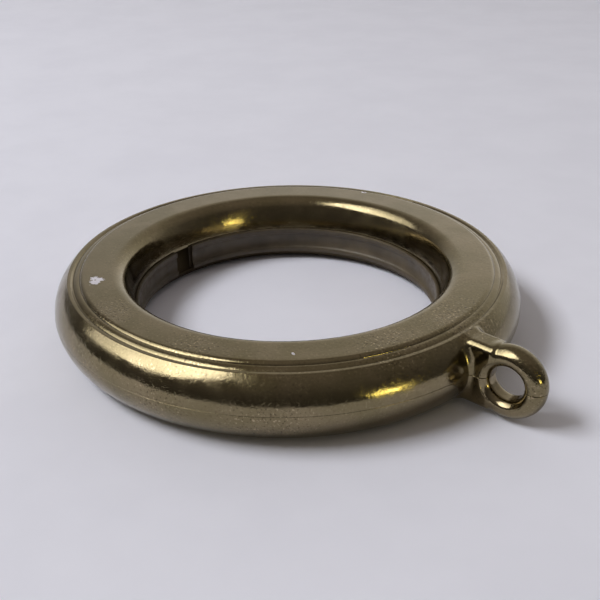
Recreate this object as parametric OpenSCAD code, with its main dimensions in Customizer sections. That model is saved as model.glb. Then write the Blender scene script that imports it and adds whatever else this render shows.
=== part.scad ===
// Curtain pole ring with a fixed eye and a split glide liner.
// Two shells meet on the mid-plane, each carrying half of the lug and half of the eye.
// The liner drops into a seat in the lower shell and is trapped by the lip of the upper shell.
// +Z is the axis of the ring, +X points from the pole bore to the eye, the origin is on the
// ring's axis in the joint plane of the two shells. Millimetres throughout.

/* [Ring] */
// outer diameter of the ring, measured over the bulge
ring_d = 60; // [56:0.5:66]
// height of the ring, top face to underside
ring_h = 8.96; // [8.4:0.02:10]
// radius of the rounded outer bulge
bulge_r = 4.13; // [3.9:0.01:4.2]
// radius where the flat top face starts to round off outwards
face_flat_r = 25.93; // [25.85:0.01:26]
// drop from the top face to the top of the fine bead round it
bead_drop = 0.33; // [0.3:0.01:0.36]
// radius of the bead's section
bead_r = 0.9; // [0.84:0.02:0.96]
// drop from the top face to the crest of the bulge
step_h = 0.48; // [0.44:0.02:0.6]
// outer radius of the crest, where the bulge ends
crest_r = 28.05; // [27.95:0.01:28.1]
// inner radius of the crest
crest_in_r = 27.62; // [27.56:0.01:27.7]
// depth of the groove between the bead and the crest
groove_depth = 0.2; // [0.14:0.02:0.24]

/* [Bore] */
// radius of the shells at the joint plane, inside the ring
lip_r = 19.9; // [19.7:0.05:20.2]
// radius where the rounded inner edge reaches the top face
inner_round_r = 22.5; // [22.3:0.05:22.8]
// clear diameter through the liner's lips, where the pole passes
pole_bore_d = 38.8; // [37:0.1:39]

/* [Liner] */
// wall thickness of the liner between its lips
liner_t = 0.8; // [0.6:0.05:1]
// height of each lip of the liner
liner_lip_h = 0.7; // [0.5:0.05:0.9]
// how far the lips stand in from the liner's wall
liner_lip_t = 0.2; // [0.1:0.05:0.3]
// width of the split in the liner
liner_gap = 3; // [2:0.1:5]
// angle of the split, measured from the eye
liner_gap_angle = 184.4; // [150:0.1:210]

/* [Eye] */
// distance from the ring's axis to the centre of the eye
eye_x = 33.9; // [33.6:0.1:35]
// outer diameter of the eye
eye_d = 8.8; // [8.6:0.1:8.9]
// narrowest diameter of the hook hole through the eye
eye_hole_d = 4.1; // [3.6:0.1:4.2]
// diameter of the crisp rim of the hook hole on each face
eye_rim_d = 5.76; // [5.4:0.02:6]
// thickness of the eye between its two rims
eye_t = 3.1; // [2.9:0.05:3.3]
// length of the straight land in the middle of the hook hole
eye_land = 0.8; // [0.6:0.05:1]

/* [Lug] */
// width of the lug that carries the eye
lug_w = 3.3; // [3.1:0.05:3.6]
// radius of the small rounding along the lug's long edges
lug_edge_r = 0.55; // [0.3:0.05:0.7]
// radius of the flare where the lug meets the bulge
lug_flare_r = 1.5; // [1:0.1:1.8]
// half height of the flare, above and below the joint plane
flare_half_h = 2.4; // [1.8:0.1:2.6]

/* [Shells] */
// radius of the hollow inside each shell
hollow_r = 2.5; // [2:0.05:2.6]
// width of the tongue that locates the two shells
tongue_w = 0.5; // [0.4:0.05:0.6]
// height of the tongue above the joint plane
tongue_h = 0.7; // [0.5:0.05:0.9]
// clearance all round the tongue in its groove
tongue_gap = 0.05; // [0.03:0.01:0.08]

/* [Hidden] */
$fn = 128;
ring_r = ring_d / 2;
half_h = ring_h / 2;
// centre of the bulge's arc
bulge_x = ring_r - bulge_r;
// above this angle the bulge runs on in a wider arc, tangent to its own, up to the crest
crest_z = half_h - step_h;
shoulder_angle = 15;
shoulder_dir = [cos(shoulder_angle), sin(shoulder_angle)];
shoulder_run = [crest_r, crest_z] - [bulge_x, 0] - bulge_r * shoulder_dir;
shoulder_r = -(shoulder_run * shoulder_run) / (2 * shoulder_run * shoulder_dir);
shoulder_c = [bulge_x, 0] + (bulge_r - shoulder_r) * shoulder_dir;
// rounding along the edge of the top face, and the bead just outside it
roll_r = 0.65;
bead_x = 26.62;
// floor of the groove, and the run of the slope from there up to the crest
groove_z = crest_z - groove_depth;
groove_slope_w = 0.24;
// inner edge of each shell: a tight arc at the top that runs into a wide arc down to the lip
tight_r = 1.9;
lip_z = 0.2;
tight_z = half_h - tight_r;
tight_rise = tight_z - lip_z;
inner_run = inner_round_r - lip_r;
// how far the wide arc still leans from upright where it reaches the lip
lip_lean = 9;
wide_r = (tight_r * tight_r - inner_run * inner_run - tight_rise * tight_rise)
    / (2 * (tight_r - inner_run * cos(lip_lean) + tight_rise * sin(lip_lean)));
wide_x = lip_r + wide_r * cos(lip_lean);
wide_z = lip_z - wide_r * sin(lip_lean);
// point where the two inner arcs touch
touch_x = wide_x + (inner_round_r - wide_x) * wide_r / (wide_r - tight_r);
touch_z = wide_z + (tight_z - wide_z) * wide_r / (wide_r - tight_r);
// seat of the liner in the lower shell
liner_in_r = pole_bore_d / 2;
liner_wall_r = liner_in_r + liner_lip_t;
liner_out_r = liner_wall_r + liner_t;
seat_gap = 0.02;
seat_r = liner_out_r + seat_gap;
seat_floor_z = -3.5;
// rounded foot under the liner's seat
foot_r = lip_r;
foot_round_r = 0.9;
// the liner's inner lip stands a little above the joint plane, inside the shell's lip
liner_top_z = 0.15;
liner_shoulder_z = -seat_gap;
liner_shoulder_r = lip_r - 0.05;
liner_bottom_z = seat_floor_z + seat_gap;
liner_chamfer = 0.1;
hollow_x = 25.3;
tongue_x = 28.95;
eye_r = eye_d / 2;
eye_rim_r = eye_rim_d / 2;
eye_hole_r = eye_hole_d / 2;
eye_half_t = eye_t / 2;
// arc of the outer section of the eye passes through the rim and the widest point
eye_sec_r = ((eye_r - eye_rim_r) * (eye_r - eye_rim_r) + eye_half_t * eye_half_t) / (2 * (eye_r - eye_rim_r));
// arc of the flared hole passes through the end of the land and the rim
flare_run = eye_rim_r - eye_hole_r;
flare_rise = eye_half_t - eye_land / 2;
flare_r = (flare_run * flare_run + flare_rise * flare_rise) / (2 * flare_run);
// the lug starts under the crest
lug_in_x = crest_in_r + 0.08;
lug_half_w = lug_w / 2;
// the lug's top sits just below the crest of the bulge
lug_half_h = crest_z - 0.05;
lug_h = 2 * lug_half_h;
lug_out_x = eye_x - 2.3;
flare_x = ring_r + lug_flare_r - 0.8;
// the flare bites this far into the lug's side
flare_bite = 0.03;
// how far a cutting body overshoots the part
over = 1;

brass = [0.50, 0.43, 0.30];
liner_brown = [0.36, 0.29, 0.22];

// Outer half of the ring's section, from the bulge over the crest to the groove.
module outer_section() {
    difference() {
        intersection() {
            union() {
                translate([bulge_x, 0])
                    circle(r = bulge_r);
                intersection() {
                    translate(shoulder_c)
                        circle(r = shoulder_r, $fn = 192);
                    polygon([
                        shoulder_c,
                        shoulder_c + 2 * shoulder_r * shoulder_dir,
                        [shoulder_c[0], 2 * shoulder_r]
                    ]);
                }
                translate([inner_round_r, 0])
                    square([bulge_x - inner_round_r, crest_z]);
            }
            translate([inner_round_r, 0])
                square([ring_r, crest_z]);
        }
        // the groove and everything inside it
        polygon([
            [inner_round_r - over, groove_z],
            [crest_in_r - groove_slope_w, groove_z],
            [crest_in_r, crest_z],
            [crest_in_r, crest_z + over],
            [inner_round_r - over, crest_z + over]
        ]);
    }
}

// Raised top face with its rounded edge, and the fine bead that meets it in a crease.
module top_section() {
    translate([inner_round_r, 0])
        square([face_flat_r - inner_round_r, half_h]);
    intersection() {
        union() {
            translate([face_flat_r, half_h - roll_r])
                circle(r = roll_r);
            translate([bead_x, half_h - bead_drop - bead_r])
                circle(r = bead_r);
        }
        translate([face_flat_r, 0])
            square([crest_in_r - face_flat_r, half_h]);
    }
}

// Rounded inner edge, from the lip at the joint plane to the top face.
module inner_section() {
    intersection() {
        translate([wide_x, wide_z])
            circle(r = wide_r);
        polygon([
            [lip_r - over, lip_z],
            [lip_r - over, touch_z],
            [touch_x, touch_z],
            [inner_round_r, tight_z],
            [inner_round_r, lip_z]
        ]);
    }
    intersection() {
        translate([inner_round_r, tight_z])
            circle(r = tight_r);
        polygon([
            [touch_x - over, touch_z],
            [touch_x, touch_z],
            [inner_round_r, tight_z],
            [inner_round_r + over, tight_z],
            [inner_round_r + over, half_h + over],
            [touch_x - over, half_h + over]
        ]);
    }
    translate([lip_r, 0])
        square([inner_round_r - lip_r, lip_z]);
}

// Plainer inner edge of the lower shell, the foot below the liner.
module foot_section() {
    translate([foot_r, 0])
        square([inner_round_r - foot_r, half_h - foot_round_r]);
    translate([foot_r + foot_round_r, 0])
        square([inner_round_r - foot_r - foot_round_r, half_h]);
    translate([foot_r + foot_round_r, half_h - foot_round_r])
        circle(r = foot_round_r);
}

// Solid half of the ring above the joint plane, with the rounded inner edge.
module upper_ring() {
    rotate_extrude($fn = 256) {
        outer_section();
        top_section();
        inner_section();
    }
}

// Solid half of the ring below the joint plane, with the plain foot.
module lower_ring() {
    mirror([0, 0, 1])
        rotate_extrude($fn = 256) {
            outer_section();
            top_section();
            foot_section();
        }
}

// Space inside each shell.
module ring_hollow() {
    rotate_extrude($fn = 256)
        translate([hollow_x, 0])
            circle(r = hollow_r);
}

// Solid body of the eye, a rounded section swept round the hook hole.
module eye_body() {
    translate([eye_x, 0, 0])
        rotate([90, 0, 0])
            rotate_extrude($fn = 96)
                translate([eye_r - eye_sec_r, 0])
                    circle(r = eye_sec_r);
}

// Hook hole: a short straight land that flares out to a crisp rim on each face.
module eye_hole() {
    translate([eye_x, 0, 0])
        rotate([90, 0, 0])
            rotate_extrude($fn = 96)
                difference() {
                    translate([0, -eye_half_t - over])
                        square([eye_rim_r, eye_t + 2 * over]);
                    translate([eye_hole_r, -eye_land / 2])
                        square([eye_rim_r, eye_land]);
                    for (side = [-1, 1])
                        intersection() {
                            translate([eye_hole_r + flare_r, side * eye_land / 2])
                                circle(r = flare_r);
                            translate([0, side > 0 ? 0 : -eye_half_t])
                                square([eye_rim_r, eye_half_t]);
                        }
                }
}

// Section of the lug across its length: a plate with rounded long edges.
module lug_section() {
    square([lug_w, lug_h - 2 * lug_edge_r], center = true);
    square([lug_w - 2 * lug_edge_r, lug_h], center = true);
    for (y = [-1, 1], z = [-1, 1])
        translate([y * (lug_half_w - lug_edge_r), z * (lug_half_h - lug_edge_r)])
            circle(r = lug_edge_r);
}

// Plate that joins the eye to the ring.
module lug_plate() {
    translate([lug_in_x, 0, 0])
        rotate([90, 0, 90])
            linear_extrude(height = lug_out_x - lug_in_x)
                lug_section();
}

// Concave flare on both sides of the lug where it grows out of the bulge.
module lug_flare() {
    difference() {
        translate([lug_in_x, -lug_half_w - lug_flare_r, -flare_half_h])
            cube([flare_x - lug_in_x, lug_w + 2 * lug_flare_r, 2 * flare_half_h]);
        for (side = [-1, 1])
            translate([flare_x, side * (lug_half_w + lug_flare_r - flare_bite), -half_h])
                cylinder(r = lug_flare_r, h = ring_h);
    }
}

// Eye, lug and flare together, before the hook hole is cut.
module eye_and_lug() {
    eye_body();
    lug_plate();
    lug_flare();
}

// Half of the eye and lug, above or below the joint plane.
module half_eye(side) {
    intersection() {
        eye_and_lug();
        translate([lug_in_x - over, -ring_r, side > 0 ? 0 : -ring_r])
            cube([ring_r, ring_d, ring_r]);
    }
}

// Ring band between two radii and two heights.
module band(inner, outer, low, high) {
    translate([0, 0, low])
        difference() {
            cylinder(r = outer, h = high - low, $fn = 256);
            translate([0, 0, -over])
                cylinder(r = inner, h = high - low + 2 * over, $fn = 256);
        }
}

// Seat of the liner, open to the joint plane, with a rounded foot below it.
module liner_seat() {
    translate([0, 0, seat_floor_z])
        cylinder(r = seat_r, h = -seat_floor_z + over, $fn = 256);
    translate([0, 0, -half_h - over])
        cylinder(r = foot_r, h = ring_h, $fn = 256);
}

module upper_shell() {
    color(brass)
        difference() {
            union() {
                upper_ring();
                half_eye(1);
            }
            ring_hollow();
            eye_hole();
            band(
                tongue_x - tongue_w / 2 - tongue_gap,
                tongue_x + tongue_w / 2 + tongue_gap,
                -over,
                tongue_h + tongue_gap
            );
        }
}

module lower_shell() {
    color(brass)
        difference() {
            union() {
                lower_ring();
                half_eye(-1);
                band(tongue_x - tongue_w / 2, tongue_x + tongue_w / 2, -over, tongue_h);
            }
            ring_hollow();
            eye_hole();
            liner_seat();
        }
}

// Split band with a lip at each end, sprung open in its seat.
module glide_liner() {
    color(liner_brown)
        difference() {
            rotate_extrude($fn = 256)
                polygon([
                    [liner_in_r, liner_top_z - liner_chamfer],
                    [liner_in_r + liner_chamfer, liner_top_z],
                    [liner_shoulder_r, liner_top_z],
                    [liner_shoulder_r, liner_shoulder_z],
                    [liner_out_r, liner_shoulder_z],
                    [liner_out_r, liner_bottom_z],
                    [liner_in_r + liner_chamfer, liner_bottom_z],
                    [liner_in_r, liner_bottom_z + liner_chamfer],
                    [liner_in_r, liner_bottom_z + liner_lip_h],
                    [liner_wall_r, liner_bottom_z + liner_lip_h + liner_lip_t],
                    [liner_wall_r, liner_top_z - liner_lip_h - liner_lip_t],
                    [liner_in_r, liner_top_z - liner_lip_h]
                ]);
            rotate([0, 0, liner_gap_angle])
                translate([liner_in_r - over, -liner_gap / 2, -half_h])
                    cube([liner_t + 2 * over, liner_gap, ring_h]);
        }
}

upper_shell();
lower_shell();
glide_liner();
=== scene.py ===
import math

import bpy
import numpy as np
from mathutils import Matrix, Vector


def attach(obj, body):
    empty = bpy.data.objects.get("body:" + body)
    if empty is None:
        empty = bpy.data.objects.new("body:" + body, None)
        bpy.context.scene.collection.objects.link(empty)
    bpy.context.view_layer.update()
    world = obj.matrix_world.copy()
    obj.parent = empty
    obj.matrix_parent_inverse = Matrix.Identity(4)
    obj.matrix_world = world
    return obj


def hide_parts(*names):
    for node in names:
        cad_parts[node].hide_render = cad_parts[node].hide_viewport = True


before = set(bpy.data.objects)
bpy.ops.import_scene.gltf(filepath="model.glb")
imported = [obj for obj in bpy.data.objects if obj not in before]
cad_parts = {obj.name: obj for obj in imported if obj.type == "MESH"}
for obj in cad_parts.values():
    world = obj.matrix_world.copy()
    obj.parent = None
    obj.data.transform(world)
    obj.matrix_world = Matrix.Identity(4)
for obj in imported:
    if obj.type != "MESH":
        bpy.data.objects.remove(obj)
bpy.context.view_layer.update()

MM = 0.001
VIEW_TURN = math.radians(44.8)  # the camera stands this far round from the -Y side

# ---------------------------------------------------------------- ring, in millimetres
RING_R = 30.0
HALF_H = 4.48
BULGE_R = 4.13
BULGE_X = RING_R - BULGE_R
SHOULDER = math.radians(15)  # above this angle the bulge runs on in a wider arc, up to the crest
CREST_R, CREST_IN_R, CREST_Z = 28.05, 27.62, 4.0
CREST_EDGE, CREST_IN_EDGE = 0.12, 0.08
GROOVE_R, GROOVE_Z = 27.38, 3.80
BEAD_X, BEAD_TOP_Z, BEAD_R = 26.62, 4.15, 0.9
# the rounded edge of the top face meets the bead in a crease at FACE_R
FACE_R, FACE_FLAT_R, ROLL_R = 26.5, 25.93, 0.65
# inner edge of the upper shell: a tight arc below the face, then a wide arc down to the lip
INNER_R, TIGHT_R = 22.5, 1.9
LIP_R, LIP_Z, LIP_LEAN = 19.9, 0.2, math.radians(9)
SEAT_R, SEAT_Z, FOOT_ROUND = 20.42, -3.5, 0.9
HOLLOW_X, HOLLOW_R = 25.3, 2.5
TONGUE_X, TONGUE_W, TONGUE_H, TONGUE_GAP = 28.95, 0.5, 0.7, 0.05
SEAM_EDGE = 0.02  # the edges at the joint plane are eased by this much
SEGMENTS = 640
FLOOR_GAP = 0.25  # the ring rests on high points of an uneven sheet
FLOOR_Z = -HALF_H - FLOOR_GAP

# eye and lug
EYE_X, EYE_R, EYE_RIM_R, EYE_HOLE_R = 33.9, 4.4, 2.88, 2.05
EYE_HALF_T, EYE_LAND = 1.55, 0.4
LUG_HALF_W, LUG_TOP, LUG_EDGE, LUG_END = 1.65, 3.95, 0.85, 32.3
LUG_END_EDGE, RIM_EDGE = 0.35, 0.05
FLARE_R, EYE_FILLET = 0.8, 0.45
EYE_TWIST = math.radians(5)
LOWER_SHIFT = 0.06  # the lower half of the lug sits this much nearer one side
PATCH_SINK, PATCH_DEPTH = 0.05, 0.3  # the eye's mesh dips into the ring at its border and stops there
PATCH_IN_R = CREST_R - 0.02
NET_STEP = 0.075

# liner
LINER_IN, LINER_LIP, LINER_T = 19.4, 0.2, 0.8
LINER_TOP, LINER_BOTTOM, LINER_LIP_H = 0.15, -3.48, 0.7
LINER_GAP, LINER_GAP_ANGLE = 3.0, math.radians(184.4)


def turned(x, y, z):
    """A point given as right, away and up from the camera's side, in the part's frame, in metres."""
    c, s = math.cos(VIEW_TURN), math.sin(VIEW_TURN)
    return Vector((c * x - s * y, s * x + c * y, z)) * MM


def link(obj):
    bpy.context.scene.collection.objects.link(obj)
    return obj


# ---------------------------------------------------------------- outlines
def arc(cx, cz, r, start, end, count):
    """Points on an arc, angles in radians from +X."""
    steps = np.linspace(start, end, count)
    return [(cx + r * math.cos(a), cz + r * math.sin(a)) for a in steps]


def line(a, b, count):
    return [tuple(np.array(a) + (np.array(b) - np.array(a)) * t) for t in np.linspace(0, 1, count)]


def shoulder_arc():
    """Centre and radius of the arc from the bulge to the crest, and its lean where it ends."""
    n = np.array((math.cos(SHOULDER), math.sin(SHOULDER)))
    start = np.array((BULGE_X, 0)) + BULGE_R * n
    run = np.array((CREST_R, CREST_Z - CREST_EDGE * 0.3)) - start
    r = -(run @ run) / (2 * run @ n)
    end = run + r * n
    return start - r * n, r, math.atan2(end[1], end[0])


SHOULDER_C, SHOULDER_R, CREST_LEAN = shoulder_arc()


def crest_outline():
    """Over the crest's two rounded edges, down into the groove and over the bead to its crease."""
    crest_c = (CREST_R - CREST_EDGE * math.cos(CREST_LEAN), CREST_Z - CREST_EDGE)
    points = arc(*crest_c, CREST_EDGE, CREST_LEAN, math.pi / 2, 5)[1:]
    slope_a = math.atan2(CREST_Z - GROOVE_Z, CREST_IN_R - GROOVE_R)
    in_c = (CREST_IN_R + CREST_IN_EDGE * math.tan(slope_a / 2), CREST_Z - CREST_IN_EDGE)
    points += arc(*in_c, CREST_IN_EDGE, math.pi / 2, math.pi / 2 + slope_a, 5)
    points += [(GROOVE_R + 0.03, GROOVE_Z + 0.025), (GROOVE_R - 0.01, GROOVE_Z + 0.005)]
    bead_z = BEAD_TOP_Z - BEAD_R
    foot_a = math.asin((GROOVE_Z + 0.03 - bead_z) / BEAD_R)
    crease_a = math.acos((FACE_R - BEAD_X) / BEAD_R)
    return points + arc(BEAD_X, bead_z, BEAD_R, foot_a, crease_a, 14)


def outer_outline():
    """From the joint plane over the bulge, crest, bead and face to the start of the inner rounding."""
    seam_a = math.asin(SEAM_EDGE / BULGE_R)
    points = [(RING_R - 0.03, 0.0), (RING_R - 0.012, 0.005)]
    points += arc(BULGE_X, 0, BULGE_R, seam_a, SHOULDER, 14)
    points += arc(*SHOULDER_C, SHOULDER_R, SHOULDER, CREST_LEAN, 22)[1:]
    points += crest_outline()
    roll_a = math.acos((FACE_R - FACE_FLAT_R) / ROLL_R)
    points += arc(FACE_FLAT_R, HALF_H - ROLL_R, ROLL_R, roll_a, math.pi / 2, 12)
    points += line((FACE_FLAT_R, HALF_H), (INNER_R, HALF_H), 8)[1:]
    return points


def inner_outline():
    """Rounded inner edge of the upper shell, from the face down to its lip."""
    tight = np.array((INNER_R, HALF_H - TIGHT_R))
    run, rise = INNER_R - LIP_R, tight[1] - LIP_Z
    bend = TIGHT_R - run * math.cos(LIP_LEAN) + rise * math.sin(LIP_LEAN)
    wide_r = (TIGHT_R ** 2 - run ** 2 - rise ** 2) / (2 * bend)
    wide = np.array((LIP_R + wide_r * math.cos(LIP_LEAN), LIP_Z - wide_r * math.sin(LIP_LEAN)))
    touch = math.atan2(*(tight - wide)[::-1])
    points = arc(*tight, TIGHT_R, math.pi / 2, touch, 20)[1:]
    points += arc(*wide, wide_r, touch, math.pi - LIP_LEAN, 10)[1:]
    points += [(LIP_R - 0.005, LIP_Z - 0.05), (LIP_R + 0.005, 0.05), (LIP_R + 0.05, 0.0)]
    return points


def hollow_outline():
    """Along the joint plane from the inside of the ring, round the hollow."""
    return arc(HOLLOW_X, 0, HOLLOW_R, math.pi, 0, 24)


def tongue_outline(gap, height):
    half = TONGUE_W / 2 + gap
    x0, x1 = TONGUE_X - half, TONGUE_X + half
    return [(x0, 0.0), (x0, height), (x1, height), (x1, 0.0)]


def upper_outline():
    groove = tongue_outline(TONGUE_GAP, TONGUE_H + TONGUE_GAP)
    return outer_outline() + inner_outline() + hollow_outline() + groove


def lower_outline():
    outer = [(r, -z) for r, z in outer_outline()]
    foot_c = (LIP_R + FOOT_ROUND, -HALF_H + FOOT_ROUND)
    foot = arc(*foot_c, FOOT_ROUND, -math.pi / 2, -math.pi, 12)
    seat = [(LIP_R, SEAT_Z - 0.03), (LIP_R + 0.03, SEAT_Z), (SEAT_R, SEAT_Z), (SEAT_R, 0.0)]
    hollow = [(r, -z) for r, z in hollow_outline()]
    return outer + foot + seat + hollow + tongue_outline(0, TONGUE_H)


def liner_outline():
    lip, wall, out = LINER_IN, LINER_IN + LINER_LIP, LINER_IN + LINER_LIP + LINER_T
    shoulder, e = LIP_R - 0.05, 0.06
    top, low = LINER_TOP, LINER_BOTTOM
    points = arc(lip + e, top - e, e, math.pi, math.pi / 2, 5)
    points += [(shoulder, top), (shoulder, -0.02), (out, -0.02), (out, low)]
    points += arc(lip + e, low + e, e, -math.pi / 2, -math.pi, 5)
    points += line((lip, low + LINER_LIP_H), (wall, low + LINER_LIP_H + 0.16), 4)
    points += line((wall, top - LINER_LIP_H - 0.16), (wall - 0.05, top - LINER_LIP_H - 0.06), 3)
    points += arc(lip + e, top - LINER_LIP_H + e, e, -math.pi / 2, -math.pi, 4)
    return points


# ---------------------------------------------------------------- meshes
def make_object(name, points, faces, normals=None):
    mesh = bpy.data.meshes.new(name)
    mesh.from_pydata(np.asarray(points, float).tolist(), [], [list(map(int, f)) for f in faces])
    mesh.update()
    mesh.shade_smooth()
    if normals is not None:
        mesh.normals_split_custom_set_from_vertices(normals.tolist())
    return link(bpy.data.objects.new(name, mesh))


def waviness(angle, along):
    """Slight unevenness of a polished surface, always inwards, in millimetres."""
    waves = ((7, 0.31, 0.2), (13, 0.9, 1.3), (23, 1.7, 4.1), (41, 2.3, 2.2), (67, 3.1, 5.6))
    total = sum(np.sin(k * angle + m * along + p) / (1 + 0.4 * i) for i, (k, m, p) in enumerate(waves))
    return 0.0045 * (total - 3.2)


def turn_outline(name, outline, start=0.0, sweep=2 * math.pi, segments=SEGMENTS, wave=True):
    """Revolves a closed outline round the ring's axis and closes the ends of a part turn."""
    whole = sweep > 2 * math.pi - 1e-6
    angles = start + np.linspace(0, sweep, segments + 1)[: segments if whole else segments + 1]
    r, z = np.array(outline).T
    along = np.cumsum(np.hypot(np.diff(r, prepend=r[0]), np.diff(z, prepend=z[0])))
    a, k = np.meshgrid(angles, np.arange(len(r)), indexing="ij")
    radius = r[k] + (waviness(a, along[k]) * np.minimum(1, (r[k] - LIP_R) / 2) if wave else 0)
    points = np.stack([radius * np.cos(a), radius * np.sin(a), z[k]], -1).reshape(-1, 3) * MM
    n, rings = len(r), len(angles)
    i, j = np.meshgrid(np.arange(rings if whole else rings - 1), np.arange(n), indexing="ij")
    i2, j2 = (i + 1) % rings, (j + 1) % n
    faces = np.stack([i * n + j, i2 * n + j, i2 * n + j2, i * n + j2], -1).reshape(-1, 4).tolist()
    if not whole:
        faces += [list(range(n))[::-1], list(range((rings - 1) * n, rings * n))]
    return make_object(name, points, faces)


def round_union(a, b, r):
    u, v = np.maximum(r - a, 0), np.maximum(r - b, 0)
    return np.maximum(np.minimum(a, b), r) - np.hypot(u, v)


def round_cut(a, b, r):
    """Rounded intersection of two fields."""
    u, v = np.maximum(r + a, 0), np.maximum(r + b, 0)
    return np.minimum(np.maximum(a, b), -r) + np.hypot(u, v)


def ring_field(p):
    """Distance to the outside of the ring near the lug."""
    x = np.hypot(p[..., 0], p[..., 1]) - BULGE_X
    z = np.abs(p[..., 2])
    bulge = np.hypot(x, z) - BULGE_R
    shoulder = np.hypot(x + BULGE_X - SHOULDER_C[0], z - SHOULDER_C[1]) - SHOULDER_R
    side = np.where(z * math.cos(SHOULDER) < x * math.sin(SHOULDER), bulge, shoulder)
    return round_cut(side, z - CREST_Z, CREST_EDGE)


def lug_field(p):
    y = np.abs(p[..., 1]) - (LUG_HALF_W - LUG_EDGE)
    z = np.abs(p[..., 2]) - (LUG_TOP - LUG_EDGE)
    plate = np.hypot(np.maximum(y, 0), np.maximum(z, 0)) + np.minimum(np.maximum(y, z), 0) - LUG_EDGE
    return round_cut(plate, p[..., 0] - LUG_END, LUG_END_EDGE)


def eye_field(p):
    reach = np.hypot(p[..., 0] - EYE_X, p[..., 2])
    y = np.abs(p[..., 1])
    run = EYE_R - EYE_RIM_R
    section = (run ** 2 + EYE_HALF_T ** 2) / (2 * run)
    return np.hypot(np.maximum(reach - (EYE_R - section), 0), y) - section


def hole_field(p):
    """Negative where the metal round the hook hole stays."""
    reach = np.hypot(p[..., 0] - EYE_X, p[..., 2])
    y = np.maximum(np.abs(p[..., 1]) - EYE_LAND, 0)
    run, rise = EYE_RIM_R - EYE_HOLE_R, EYE_HALF_T - EYE_LAND
    flare = (run ** 2 + rise ** 2) / (2 * run)
    inwards = np.maximum(EYE_HOLE_R + flare - reach, 0)
    return np.minimum(np.hypot(inwards, y) - flare, EYE_RIM_R - reach)


def twisted(p):
    """The point seen from the eye, which stands slightly turned about the upright."""
    c, s = math.cos(EYE_TWIST), math.sin(EYE_TWIST)
    x, y = p[..., 0] - EYE_X, p[..., 1]
    return np.stack([EYE_X + c * x + s * y, c * y - s * x, p[..., 2]], -1)


def eye_half_field(side):
    """Field of one half of the eye and lug with its flare onto the ring. side is 1 above, -1 below."""
    def field(p):
        q = p + np.array((0, LOWER_SHIFT if side < 0 else 0, 0))
        ring, lug, eye = ring_field(p), lug_field(q), eye_field(twisted(q))
        neck = round_union(lug, ring, FLARE_R)
        whole = round_union(eye, neck, EYE_FILLET)
        whole = round_cut(whole, hole_field(twisted(q)), RIM_EDGE)
        reach = np.minimum(lug, eye) - FLARE_R
        whole = whole + PATCH_SINK * np.clip(reach / PATCH_DEPTH, 0, 1)
        whole = round_cut(whole, -side * p[..., 2], SEAM_EDGE)
        whole = np.maximum(whole, -ring - PATCH_DEPTH)
        whole = np.maximum(whole, reach - PATCH_DEPTH)
        return np.maximum(whole, PATCH_IN_R - np.hypot(p[..., 0], p[..., 1]))
    return field


def slope(field, p, h=0.004):
    """Gradient of a field by central differences."""
    shifts = np.eye(3) * h
    return np.stack([(field(p + s) - field(p - s)) / (2 * h) for s in shifts], -1)


def surface_net(field, low, high, step):
    """Closed quad mesh over the places where the field changes sign. Returns points, quads, normals."""
    axes = [np.arange(a, b, step) for a, b in zip(low, high)]
    inside = field(np.stack(np.meshgrid(*axes, indexing="ij"), -1)) < 0
    nx, ny, nz = (n - 1 for n in inside.shape)
    parts = [inside[i:nx + i, j:ny + j, k:nz + k] for i in (0, 1) for j in (0, 1) for k in (0, 1)]
    count = sum(p.astype(np.int8) for p in parts)
    mixed = (count > 0) & (count < 8)
    index = np.full(mixed.shape, -1)
    index[mixed] = np.arange(mixed.sum())
    points = np.array(low) + (np.argwhere(mixed) + 0.5) * step
    for _ in range(5):
        g = slope(field, points)
        move = (field(points) / np.maximum((g ** 2).sum(-1), 0.05))[:, None] * g
        points -= np.clip(move, -step / 2, step / 2)
    quads = []
    for axis in range(3):
        here = np.moveaxis(inside, axis, 0)
        cells = np.moveaxis(index, axis, 0)
        lower, upper = here[:-1, 1:-1, 1:-1], here[1:, 1:-1, 1:-1]
        ring = [cells[:, :-1, :-1], cells[:, 1:, :-1], cells[:, 1:, 1:], cells[:, :-1, 1:]]
        for mask, order in ((lower & ~upper, (0, 1, 2, 3)), (~lower & upper, (3, 2, 1, 0))):
            order = order if axis != 1 else order[::-1]
            quads.append(np.stack([ring[i][mask] for i in order], -1))
    g = slope(field, points)
    return points, np.concatenate(quads), g / np.maximum(np.linalg.norm(g, axis=1), 1e-9)[:, None]


def make_eye_half(name, side):
    low = (27.0, -3.9, -4.6 if side < 0 else -0.2)
    high = (38.7, 3.9, 0.2 if side < 0 else 4.6)
    points, quads, normals = surface_net(eye_half_field(side), low, high, NET_STEP)
    return make_object(name, points * MM, quads, normals)


def join(base, *others):
    """Joins other meshes into the first, keeping their normals."""
    with bpy.context.temp_override(active_object=base, selected_editable_objects=[base, *others]):
        bpy.ops.object.join()
    return base


# ---------------------------------------------------------------- node helpers
def new_material(name):
    m = bpy.data.materials.new(name)
    m.use_nodes = True
    m.node_tree.nodes.clear()
    return m, m.node_tree


def node(tree, kind, **values):
    n = tree.nodes.new(kind)
    for key, value in values.items():
        setattr(n, key, value)
    return n


def wire(tree, a, b):
    tree.links.new(a, b)


def noise(tree, coord, scale, detail=2.0, rough=0.5, distort=0.0):
    n = node(tree, "ShaderNodeTexNoise")
    n.inputs["Scale"].default_value = scale
    n.inputs["Detail"].default_value = detail
    n.inputs["Roughness"].default_value = rough
    n.inputs["Distortion"].default_value = distort
    wire(tree, coord, n.inputs["Vector"])
    return n.outputs["Fac"]


def remap(tree, value, low, high, to_low=0.0, to_high=1.0):
    n = node(tree, "ShaderNodeMapRange", interpolation_type="SMOOTHSTEP")
    for key, v in (("From Min", low), ("From Max", high), ("To Min", to_low), ("To Max", to_high)):
        n.inputs[key].default_value = v
    wire(tree, value, n.inputs["Value"])
    return n.outputs["Result"]


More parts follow.
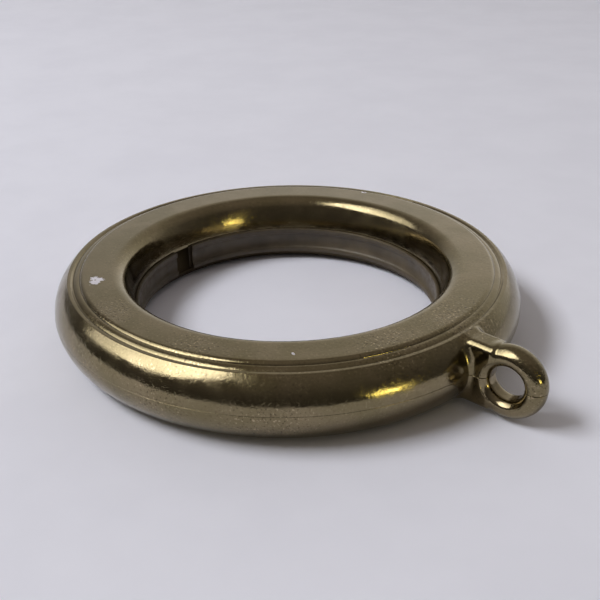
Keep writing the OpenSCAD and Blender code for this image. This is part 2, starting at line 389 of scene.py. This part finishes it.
def math_node(tree, operation, a, b=None):
    n = node(tree, "ShaderNodeMath", operation=operation)
    for socket, v in zip(n.inputs, (a, b)):
        if v is None:
            continue
        if isinstance(v, (int, float)):
            socket.default_value = v
        else:
            wire(tree, v, socket)
    return n.outputs[0]


def mix_color(tree, fac, a, b):
    n = node(tree, "ShaderNodeMix", data_type="RGBA")
    for name, v in (("Factor", fac), ("A", a), ("B", b)):
        socket = [s for s in n.inputs if s.name == name and (name == "Factor") == (s.type == "VALUE")
                  and s.type in ("VALUE", "RGBA")][0]
        if isinstance(v, (int, float)):
            socket.default_value = v
        elif isinstance(v, tuple):
            socket.default_value = (*v, 1)
        else:
            wire(tree, v, socket)
    return [s for s in n.outputs if s.type == "RGBA"][0]


def bump(tree, height, distance, strength=1.0, normal=None):
    n = node(tree, "ShaderNodeBump")
    n.inputs["Strength"].default_value = strength
    n.inputs["Distance"].default_value = distance
    wire(tree, height, n.inputs["Height"])
    if normal is not None:
        wire(tree, normal, n.inputs["Normal"])
    return n.outputs["Normal"]


# ---------------------------------------------------------------- materials
# worn spots: distance from the axis, angle from the eye in degrees, height and size, lengths in mm
CHIPS = ((24.00, -121.6, 4.48, 0.62), (24.65, -119.8, 4.48, 0.70), (24.62, -122.4, 4.48, 0.50),
         (25.98, 107.2, 4.48, 0.36), (29.70, -91.5, 2.5, 0.24), (24.65, -44.3, 4.48, 0.09))
# pitted areas, given in the same way
PITTED = ((26.3, 3.0, 4.2, 7.0), (26.0, -20.0, 4.2, 6.0), (25.0, -70.0, 4.4, 4.5), (25.0, -100.0, 4.4, 4.0),
          (28.5, -100.0, -2.8, 8.0), (28.5, -75.0, -2.8, 7.0), (28.5, -50.0, -2.8, 8.0),
          (36.5, 0.0, 1.0, 4.0))


def spot(tree, where, place, edge_in, edge_out, wobble):
    """1 near a place on the ring, falling to 0, with an uneven border."""
    r, turn, z = place
    away = node(tree, "ShaderNodeVectorMath", operation="DISTANCE")
    a = math.radians(turn)
    away.inputs[1].default_value = (r * MM * math.cos(a), r * MM * math.sin(a), z * MM)
    wire(tree, where, away.inputs[0])
    reach = math_node(tree, "ADD", away.outputs["Value"], wobble)
    return remap(tree, reach, edge_in * MM, edge_out * MM, 1.0, 0.0)


def spots(tree, where, places, soft, wobble):
    """All the places together; soft is how much of each size the border takes."""
    total = None
    for r, turn, z, size in places:
        one = spot(tree, where, (r, turn, z), size * (1 - soft), size, wobble)
        total = one if total is None else math_node(tree, "MAXIMUM", total, one)
    return total


def seat_painted_shade(tree, where):
    """Mask of painted shade: 1 in the liner's seat and on the foot below it, 0 elsewhere."""
    flat = node(tree, "ShaderNodeVectorMath", operation="MULTIPLY")
    flat.inputs[1].default_value = (1, 1, 0)
    wire(tree, where, flat.inputs[0])
    reach = node(tree, "ShaderNodeVectorMath", operation="LENGTH")
    wire(tree, flat.outputs[0], reach.inputs[0])
    axes = node(tree, "ShaderNodeSeparateXYZ")
    wire(tree, where, axes.inputs[0])
    inner = remap(tree, reach.outputs["Value"], 20.5 * MM, 20.9 * MM, 1.0, 0.0)
    below = remap(tree, axes.outputs["Z"], -0.4 * MM, -0.1 * MM, 1.0, 0.0)
    return math_node(tree, "MULTIPLY", inner, below)


def brass_material(name):
    m, t = new_material(name)
    out = node(t, "ShaderNodeOutputMaterial")
    bsdf = node(t, "ShaderNodeBsdfPrincipled")
    where = node(t, "ShaderNodeTexCoord").outputs["Object"]
    cloud = remap(t, noise(t, where, 170, 3, 0.55, 0.4), 0.35, 0.68)
    speck = noise(t, where, 3600, 2, 0.6)
    rough_border = remap(t, noise(t, where, 1900, 3, 0.6), 0.3, 0.7, -0.00028, 0.00028)
    chipped = spots(t, where, CHIPS, 0.25, rough_border)
    pitted = spots(t, where, PITTED, 0.8, rough_border)
    amount = math_node(t, "ADD", math_node(t, "MULTIPLY", pitted, 0.85), 0.35)
    light_speck = math_node(t, "MULTIPLY", remap(t, speck, 0.60, 0.70), amount)
    dark_speck = math_node(t, "MULTIPLY", remap(t, speck, 0.42, 0.32), amount)
    color = mix_color(t, cloud, (0.212, 0.176, 0.098), (0.255, 0.208, 0.125))
    color = mix_color(t, light_speck, color, (0.44, 0.36, 0.23))
    color = mix_color(t, dark_speck, color, (0.11, 0.085, 0.05))
    color = mix_color(t, chipped, color, (0.88, 0.86, 0.92))
    # painted shade: the liner's seat and the foot under it are darkened to near black, standing in for the
    # shadow where liner, ring and floor meet; the same mask also makes these places rougher
    painted_shade = math_node(t, "MULTIPLY", seat_painted_shade(t, where), 0.85)
    color = mix_color(t, painted_shade, color, (0.05, 0.036, 0.022))
    wire(t, color, bsdf.inputs["Base Color"])
    bsdf.inputs["Metallic"].default_value = 1.0
    rough = remap(t, noise(t, where, 420, 4, 0.6), 0.3, 0.75, 0.08, 0.24)
    dull = math_node(t, "MULTIPLY", math_node(t, "MAXIMUM", chipped, painted_shade), 0.45)
    rough = math_node(t, "ADD", rough, dull)
    wire(t, rough, bsdf.inputs["Roughness"])
    pits = math_node(t, "MULTIPLY", remap(t, noise(t, where, 2100, 3, 0.65), 0.46, 0.36), amount)
    dents = math_node(t, "ADD", math_node(t, "MULTIPLY", pits, -1.0), math_node(t, "MULTIPLY", chipped, -1.5))
    grain = bump(t, noise(t, where, 2600, 3, 0.6), 0.000014, 0.6)
    pitting = bump(t, dents, 0.000012, 0.7, grain)
    wire(t, bump(t, noise(t, where, 320, 2, 0.5), 0.00003, 0.6, pitting), bsdf.inputs["Normal"])
    wire(t, bsdf.outputs[0], out.inputs["Surface"])
    return m


def liner_material(name):
    m, t = new_material(name)
    out = node(t, "ShaderNodeOutputMaterial")
    bsdf = node(t, "ShaderNodeBsdfPrincipled")
    where = node(t, "ShaderNodeTexCoord").outputs["Object"]
    cloud = remap(t, noise(t, where, 260, 3, 0.6), 0.3, 0.7)
    wire(t, mix_color(t, cloud, (0.060, 0.044, 0.025), (0.088, 0.066, 0.038)), bsdf.inputs["Base Color"])
    wire(t, remap(t, noise(t, where, 900, 3, 0.6), 0.3, 0.7, 0.34, 0.55), bsdf.inputs["Roughness"])
    wire(t, bump(t, noise(t, where, 2400, 3, 0.6), 0.00002, 0.5), bsdf.inputs["Normal"])
    wire(t, bsdf.outputs[0], out.inputs["Surface"])
    return m


def floor_material(name):
    m, t = new_material(name)
    out = node(t, "ShaderNodeOutputMaterial")
    bsdf = node(t, "ShaderNodeBsdfPrincipled")
    where = node(t, "ShaderNodeTexCoord").outputs["Object"]
    cloud = remap(t, noise(t, where, 60, 3, 0.6), 0.3, 0.7)
    wire(t, mix_color(t, cloud, (0.83, 0.83, 0.92), (0.86, 0.86, 0.95)), bsdf.inputs["Base Color"])
    bsdf.inputs["Roughness"].default_value = 0.8
    wire(t, bump(t, noise(t, where, 1500, 3, 0.6), 0.00002, 0.5), bsdf.inputs["Normal"])
    wire(t, bsdf.outputs[0], out.inputs["Surface"])
    return m


# ---------------------------------------------------------------- pieces
def finish_piece(obj, node_name, material):
    obj.data.materials.clear()
    obj.data.materials.append(material)
    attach(obj, "root")
    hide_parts(node_name)


brass = brass_material("antique_brass")
liner_finish = liner_material("liner_brown")

upper = turn_outline("upper_shell_metal", upper_outline())
join(upper, make_eye_half("upper_eye", 1))
lower = turn_outline("lower_shell_metal", lower_outline()[::-1])
join(lower, make_eye_half("lower_eye", -1))
gap_half = LINER_GAP / 2 / LINER_IN
liner = turn_outline("glide_liner_band", liner_outline(), LINER_GAP_ANGLE + gap_half,
                     2 * math.pi - 2 * gap_half, 480, wave=False)
finish_piece(upper, "upper_shell", brass)
finish_piece(lower, "lower_shell", brass)
finish_piece(liner, "glide_liner", liner_finish)

# ---------------------------------------------------------------- stage
SHEET_SIDE, SHEET_FRONT, SHEET_BACK = 1500, -122, 1500
corners = [(-SHEET_SIDE, SHEET_FRONT), (SHEET_SIDE, SHEET_FRONT)]
corners += [(SHEET_SIDE, SHEET_BACK), (-SHEET_SIDE, SHEET_BACK)]
floor = make_object("floor", [turned(x, y, FLOOR_Z) for x, y in corners], [(0, 1, 2, 3)])
floor.data.materials.append(floor_material("floor_sheet"))


# ---------------------------------------------------------------- lights
WINDOW_X = 0.62  # the window stands this far to the left, in metres
# the window's border as places away from the camera and up, in parts of WINDOW_X
WINDOW = ((0.30, 0.28), (0.02, 0.37), (-0.45, 0.52), (-0.72, 0.68), (-0.90, 1.05), (-1.50, 1.85),
          (-1.50, 2.60), (0.60, 2.30), (0.55, 0.95))
UP = (0, 0, 1000)
BACK_GLOW_SIDE = (342, 940, 0)


def area_light(name, place, aim, size, radiance, color):
    """A lit rectangle. place, aim and size are in millimetres from the camera's side."""
    data = bpy.data.lights.new(name, "AREA")
    data.shape = "RECTANGLE"
    data.size, data.size_y = size[0] * MM, size[1] * MM
    data.energy = radiance * math.pi * data.size * data.size_y
    data.color = color
    obj = link(bpy.data.objects.new(name, data))
    here, there = turned(*place), turned(*aim)
    obj.location = here
    obj.rotation_euler = (there - here).to_track_quat("-Z", "Y").to_euler()
    obj.visible_camera = False
    return obj


def window_light():
    """A tall bright window to the left. Its sill rises towards the camera, and its far part is dimmer."""
    mesh = bpy.data.meshes.new("window")
    corners = [(-WINDOW_X, y * WINDOW_X, z * WINDOW_X) for y, z in WINDOW]
    mesh.from_pydata(corners, [], [range(len(corners))])
    obj = link(bpy.data.objects.new("window", mesh))
    obj.rotation_euler = (0, 0, VIEW_TURN)
    obj.visible_camera = False
    obj.visible_diffuse = False
    m, t = new_material("window_light")
    out = node(t, "ShaderNodeOutputMaterial")
    glow = node(t, "ShaderNodeEmission")
    glow.inputs["Color"].default_value = (1.0, 1.0, 1.0, 1)
    axes = node(t, "ShaderNodeSeparateXYZ")
    wire(t, node(t, "ShaderNodeTexCoord").outputs["Object"], axes.inputs[0])
    along = math_node(t, "DIVIDE", axes.outputs["Y"], WINDOW_X)
    near = remap(t, along, -1.5, -0.8, 1.8, 5.6)
    far = remap(t, along, -0.45, 0.35, 1.0, 0.33)
    wire(t, math_node(t, "MULTIPLY", near, far), glow.inputs["Strength"])
    wire(t, glow.outputs[0], out.inputs["Surface"])
    mesh.materials.append(m)


window_light()
# the window lights only what mirrors it; this softer lamp lights the sheet and the liner from its side
fill = area_light("fill", (-610, -40, 580), (0, 0, 0), (460, 460), 13.2, (0.955, 0.975, 1.0))
fill.visible_glossy = False
area_light("lamp", (270, -300, 32), (0, 0, 0), (80, 40), 14.0, (0.94, 0.84, 0.30))


def facing(tree, coord, toward, stops):
    """A brightness set by where a direction points, from 0 opposite toward to 1 along it."""
    dot = node(tree, "ShaderNodeVectorMath", operation="DOT_PRODUCT")
    dot.inputs[1].default_value = turned(*toward)
    wire(tree, coord.outputs["Generated"], dot.inputs[0])
    half = math_node(tree, "MULTIPLY_ADD", dot.outputs["Value"], 0.5)
    half.node.inputs[2].default_value = 0.5
    ramp = node(tree, "ShaderNodeValToRGB")
    while len(ramp.color_ramp.elements) < len(stops):
        ramp.color_ramp.elements.new(0.5)
    for element, (place, v) in zip(ramp.color_ramp.elements, stops):
        element.position = place
        element.color = (v, v, v, 1)
    wire(tree, half, ramp.inputs[0])
    return ramp.outputs["Color"]


def studio_world():
    """A dim warm room with a pale glow behind the sheet that fades upwards."""
    world = bpy.data.worlds.new("studio")
    bpy.context.scene.world = world
    world.use_nodes = True
    t = world.node_tree
    t.nodes.clear()
    out = node(t, "ShaderNodeOutputWorld")
    back = node(t, "ShaderNodeBackground")
    coord = node(t, "ShaderNodeTexCoord")
    round_stops = ((0.40, 0.02), (0.62, 0.07), (0.74, 0.20), (0.86, 0.47), (0.95, 0.66), (1.0, 0.93))
    up_stops = ((0.60, 1.0), (0.70, 0.98), (0.78, 0.72), (0.86, 0.62), (0.92, 0.12))
    glow = facing(t, coord, BACK_GLOW_SIDE, round_stops)
    lift = facing(t, coord, UP, up_stops)
    light = math_node(t, "MULTIPLY", glow, lift)
    room = facing(t, coord, UP, ((0.50, 0.05), (0.66, 0.08), (0.85, 0.18), (1.0, 0.27)))
    wire(t, mix_color(t, light, (0, 0, 0), (1.0, 0.985, 0.98)), back.inputs["Color"])
    walls = node(t, "ShaderNodeBackground")
    wire(t, mix_color(t, room, (0, 0, 0), (1.0, 0.90, 0.82)), walls.inputs["Color"])
    both = node(t, "ShaderNodeAddShader")
    wire(t, back.outputs[0], both.inputs[0])
    wire(t, walls.outputs[0], both.inputs[1])
    wire(t, both.outputs[0], out.inputs["Surface"])


studio_world()

# ---------------------------------------------------------------- camera
cam_data = bpy.data.cameras.new("camera")
cam_data.lens = 54.82
cam_data.sensor_width = 36.0
cam_data.clip_start = 0.005
cam_data.clip_end = 20.0
camera = link(bpy.data.objects.new("camera", cam_data))
eye = turned(0.0, -107.97, 53.93)
forward = (turned(12.82, 888.19, -459.30)).normalized()
right = (turned(999.71, -20.73, -12.19)).normalized()
up = right.cross(forward).normalized()
right = forward.cross(up).normalized()
camera.matrix_world = Matrix((
    (right.x, up.x, -forward.x, eye.x),
    (right.y, up.y, -forward.y, eye.y),
    (right.z, up.z, -forward.z, eye.z),
    (0, 0, 0, 1),
))
bpy.context.scene.camera = camera
bpy.context.scene.view_settings.view_transform = "Standard"
